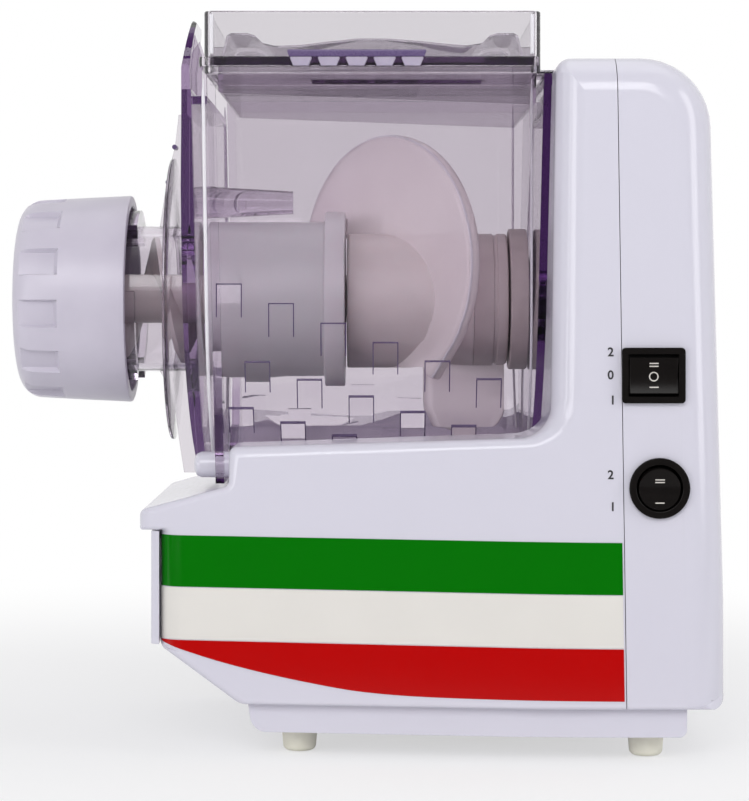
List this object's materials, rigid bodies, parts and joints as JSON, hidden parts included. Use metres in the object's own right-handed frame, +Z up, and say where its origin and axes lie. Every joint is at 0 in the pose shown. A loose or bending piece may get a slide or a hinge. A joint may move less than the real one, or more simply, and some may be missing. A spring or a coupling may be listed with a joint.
{
  "type": "electric pasta machine",
  "caption": "Table-top electric pasta machine: clear mixing chamber with lid, front plate with neck, auger, die nut, motor tower and accessory drawer.",
  "frame": {"origin": "bottom centre of the machine's bounding box, on the table", "axes": "+Z up, +X from the die nut to the motor tower, the switches on the -Y side"},
  "size_m": [0.2804, 0.1943, 0.29],
  "materials": {
    "shell": "gloss",
    "green": "gloss",
    "white": "gloss",
    "red": "gloss",
    "clear": "gloss",
    "milky": "satin",
    "nut": "satin",
    "grey": "satin",
    "dark": "gloss",
    "foot": "matt",
    "steel": "bright",
    "brass": "bright",
    "winding": "varnished"
  },
  "bodies": {
    "housing": {"front_housing": "shell", "rear_housing": "shell", "base_plate": "shell", "foot_0": "foot", "foot_1": "foot", "foot_2": "foot", "foot_3": "foot", "base_screw_0": "steel", "base_screw_1": "steel", "base_screw_2": "steel", "base_screw_3": "steel", "rear_screw_0": "steel", "rear_screw_1": "steel", "rear_screw_2": "steel", "rear_screw_3": "steel", "stripe_green_near": "green", "stripe_green_far": "green", "stripe_white_near": "white", "stripe_white_far": "white", "stripe_red_near": "red", "stripe_red_far": "red", "locating_stud_0": "shell", "locating_stud_1": "shell", "gearcase": "milky", "gearcase_cover": "milky", "output_bearing": "steel", "intermediate_axle": "steel", "motor_can": "steel", "motor_stator": "winding", "power_switch_body": "dark", "mode_switch_body": "dark", "interlock_switch": "dark", "cord_gland": "dark"},
    "drawer": {"drawer": "shell"},
    "chamber": {"mixing_chamber": "clear", "chamber_collar": "grey"},
    "lid": {"lid": "clear"},
    "plate": {"front_plate": "clear", "extrusion_tube": "milky"},
    "die": {"shaping_die": "milky"},
    "nut": {"die_nut": "nut"},
    "paddle": {"mixing_paddle": "milky", "auger": "grey"},
    "output": {"drive_shaft": "steel", "output_gear": "milky"},
    "intermediate": {"intermediate_gear": "milky"},
    "motor": {"motor_rotor": "steel", "motor_pinion": "brass", "motor_fan": "dark"},
    "power_rocker": {"power_rocker": "dark"},
    "mode_rocker": {"mode_rocker": "dark"}
  },
  "joints": [
    {"name": "output_spin", "type": "hinge", "parent": "housing", "child": "output", "pos_m": [0.087, 0, 0.176], "axis": [1, 0, 0], "continuous": true},
    {"name": "intermediate_spin", "type": "hinge", "parent": "housing", "child": "intermediate", "pos_m": [0.092, 0, 0.116], "axis": [1, 0, 0], "continuous": true},
    {"name": "motor_spin", "type": "hinge", "parent": "housing", "child": "motor", "pos_m": [0.037, 0, 0.066], "axis": [1, 0, 0], "continuous": true},
    {"name": "chamber_slide", "type": "slide", "parent": "housing", "child": "chamber", "axis": [-1, 0, 0], "range_m": [0, 0.06]},
    {"name": "paddle_spin", "type": "hinge", "parent": "chamber", "child": "paddle", "pos_m": [0.017, 0, 0.176], "axis": [1, 0, 0], "continuous": true},
    {"name": "lid_lift", "type": "slide", "parent": "chamber", "child": "lid", "axis": [0, 0, 1], "range_m": [0, 0.06]},
    {"name": "front_plate_slide", "type": "slide", "parent": "chamber", "child": "plate", "axis": [-1, 0, 0], "range_m": [0, 0.1]},
    {"name": "die_slide", "type": "slide", "parent": "plate", "child": "die", "axis": [-1, 0, 0], "range_m": [0, 0.0421]},
    {"name": "nut_turn", "type": "hinge", "parent": "die", "child": "nut", "pos_m": [-0.123, 0, 0.176], "axis": [-1, 0, 0], "range_deg": [0, 1260]},
    {"name": "drawer_slide", "type": "slide", "parent": "housing", "child": "drawer", "axis": [-1, 0, 0], "range_m": [0, 0.05]},
    {"name": "power_rocker_tilt", "type": "hinge", "parent": "housing", "child": "power_rocker", "pos_m": [0.1106, -0.0951, 0.147], "axis": [1, 0, 0], "range_deg": [-10, 10]},
    {"name": "mode_rocker_tilt", "type": "hinge", "parent": "housing", "child": "mode_rocker", "pos_m": [0.1129, -0.0951, 0.1044], "axis": [1, 0, 0], "range_deg": [-14, 0]}
  ],
  "couplings": [
    {"joint": "intermediate_spin", "follows": "output_spin", "ratio": -3},
    {"joint": "motor_spin", "follows": "output_spin", "ratio": 12},
    {"joint": "paddle_spin", "follows": "output_spin", "ratio": 1},
    {"joint": "die_slide", "follows": "nut_turn", "m_per_rad": 0.0019099}
  ]
}
